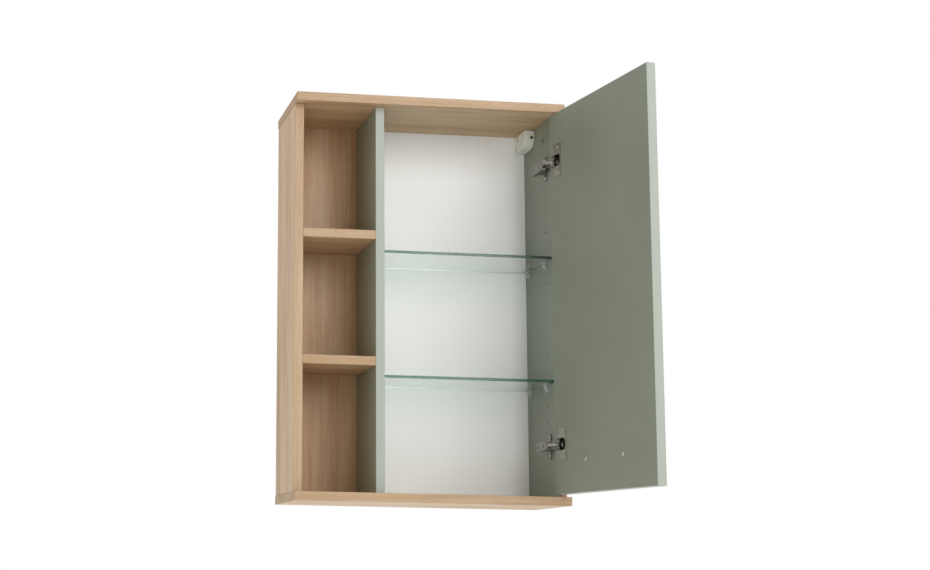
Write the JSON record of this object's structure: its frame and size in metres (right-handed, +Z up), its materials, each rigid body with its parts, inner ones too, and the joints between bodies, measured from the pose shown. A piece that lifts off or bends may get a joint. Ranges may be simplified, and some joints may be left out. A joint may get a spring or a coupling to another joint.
{
  "type": "medicine cabinet with mirror",
  "caption": "Wall-hung bathroom cabinet with an open shelf niche and, behind a hinged mirror door, a compartment with glass shelves.",
  "frame": {"origin": "middle of the top panel's rear edge face, on the wall plane", "axes": "+X to the right as seen by someone in front of the cabinet, +Y into the wall, +Z up; the door stands open in the rest pose"},
  "size_m": [0.5581, 0.5325, 0.736],
  "materials": {
    "oak_decor": "light oak grain, satin",
    "green_decor": "grey-green paint film, satin",
    "two_tone_decor": "light oak outside and on the front edge, grey-green inside, satin",
    "white_decor": "white film, satin",
    "clear_glass": "clear float glass with green edges",
    "silvered_glass": "silvered glass with a fine ground edge",
    "foam_tape": "double-sided foam tape",
    "beech_dowel": "fluted beech",
    "zinc_casting": "die-cast zinc alloy, nickel finish",
    "zinc_plate": "zinc-plated steel",
    "clear_plastic": "clear moulded plastic",
    "satin_bar": "satin nickel",
    "nickel_plate": "nickel-plated pressed steel",
    "screw_steel": "nickel-plated steel",
    "hanger_plastic": "off-white moulded nylon"
  },
  "bodies": {
    "cabinet": {"top_panel": "oak_decor", "bottom_panel": "oak_decor", "left_side_panel": "oak_decor", "open_shelf_upper": "oak_decor", "open_shelf_lower": "oak_decor", "back_panel_oak": "oak_decor", "divider_panel": "green_decor", "right_side_panel": "two_tone_decor", "back_panel_white": "white_decor", "glass_shelf_upper": "clear_glass", "glass_shelf_lower": "clear_glass", "carcass_dowels": "beech_dowel", "open_shelf_dowels": "beech_dowel", "cam_locks": "zinc_casting", "hinge_plate_lower": "zinc_casting", "hinge_plate_upper": "zinc_casting", "cam_bolts": "zinc_plate", "hanger_hook_left": "zinc_plate", "hanger_hook_right": "zinc_plate", "hanger_screws": "zinc_plate", "hanger_adjusters": "zinc_plate", "shelf_supports_upper": "clear_plastic", "shelf_supports_lower": "clear_plastic", "hinge_arm_lower": "nickel_plate", "hinge_arm_upper": "nickel_plate", "hinge_plate_screws": "screw_steel", "hinge_arm_screws": "screw_steel", "hinge_arm_pins": "screw_steel", "hanger_housing_left": "hanger_plastic", "hanger_housing_right": "hanger_plastic"},
    "hinge_outer_links": {"hinge_outer_link_lower": "nickel_plate", "hinge_outer_link_upper": "nickel_plate"},
    "hinge_inner_links": {"hinge_inner_link_lower": "nickel_plate", "hinge_inner_link_upper": "nickel_plate", "hinge_inner_link_pins": "screw_steel"},
    "door": {"door_board": "green_decor", "mirror_glass": "silvered_glass", "mirror_tape_pads": "foam_tape", "door_handle": "satin_bar", "handle_screws": "screw_steel", "hinge_cup_lower": "nickel_plate", "hinge_cup_upper": "nickel_plate", "hinge_cup_pins": "screw_steel", "hinge_cup_screws": "screw_steel"}
  },
  "joints": [
    {"name": "outer_link_swing", "type": "hinge", "parent": "cabinet", "child": "hinge_outer_links", "pos_m": [0.2209, -0.1814, -0.101], "axis": [0, 0, 1], "range_deg": [-3, 50.2]},
    {"name": "door_swing", "type": "hinge", "parent": "hinge_outer_links", "child": "door", "pos_m": [0.22976, -0.19758, -0.101], "axis": [0, 0, 1], "range_deg": [-148, 7.5]},
    {"name": "inner_link_swing", "type": "hinge", "parent": "cabinet", "child": "hinge_inner_links", "pos_m": [0.2138, -0.1882, -0.101], "axis": [0, 0, 1], "range_deg": [-1, 13]}
  ],
  "couplings": [
    {"joint": "outer_link_swing", "follows": "door_swing", "ratio": -0.33784},
    {"joint": "inner_link_swing", "follows": "door_swing", "ratio": -0.08694}
  ]
}
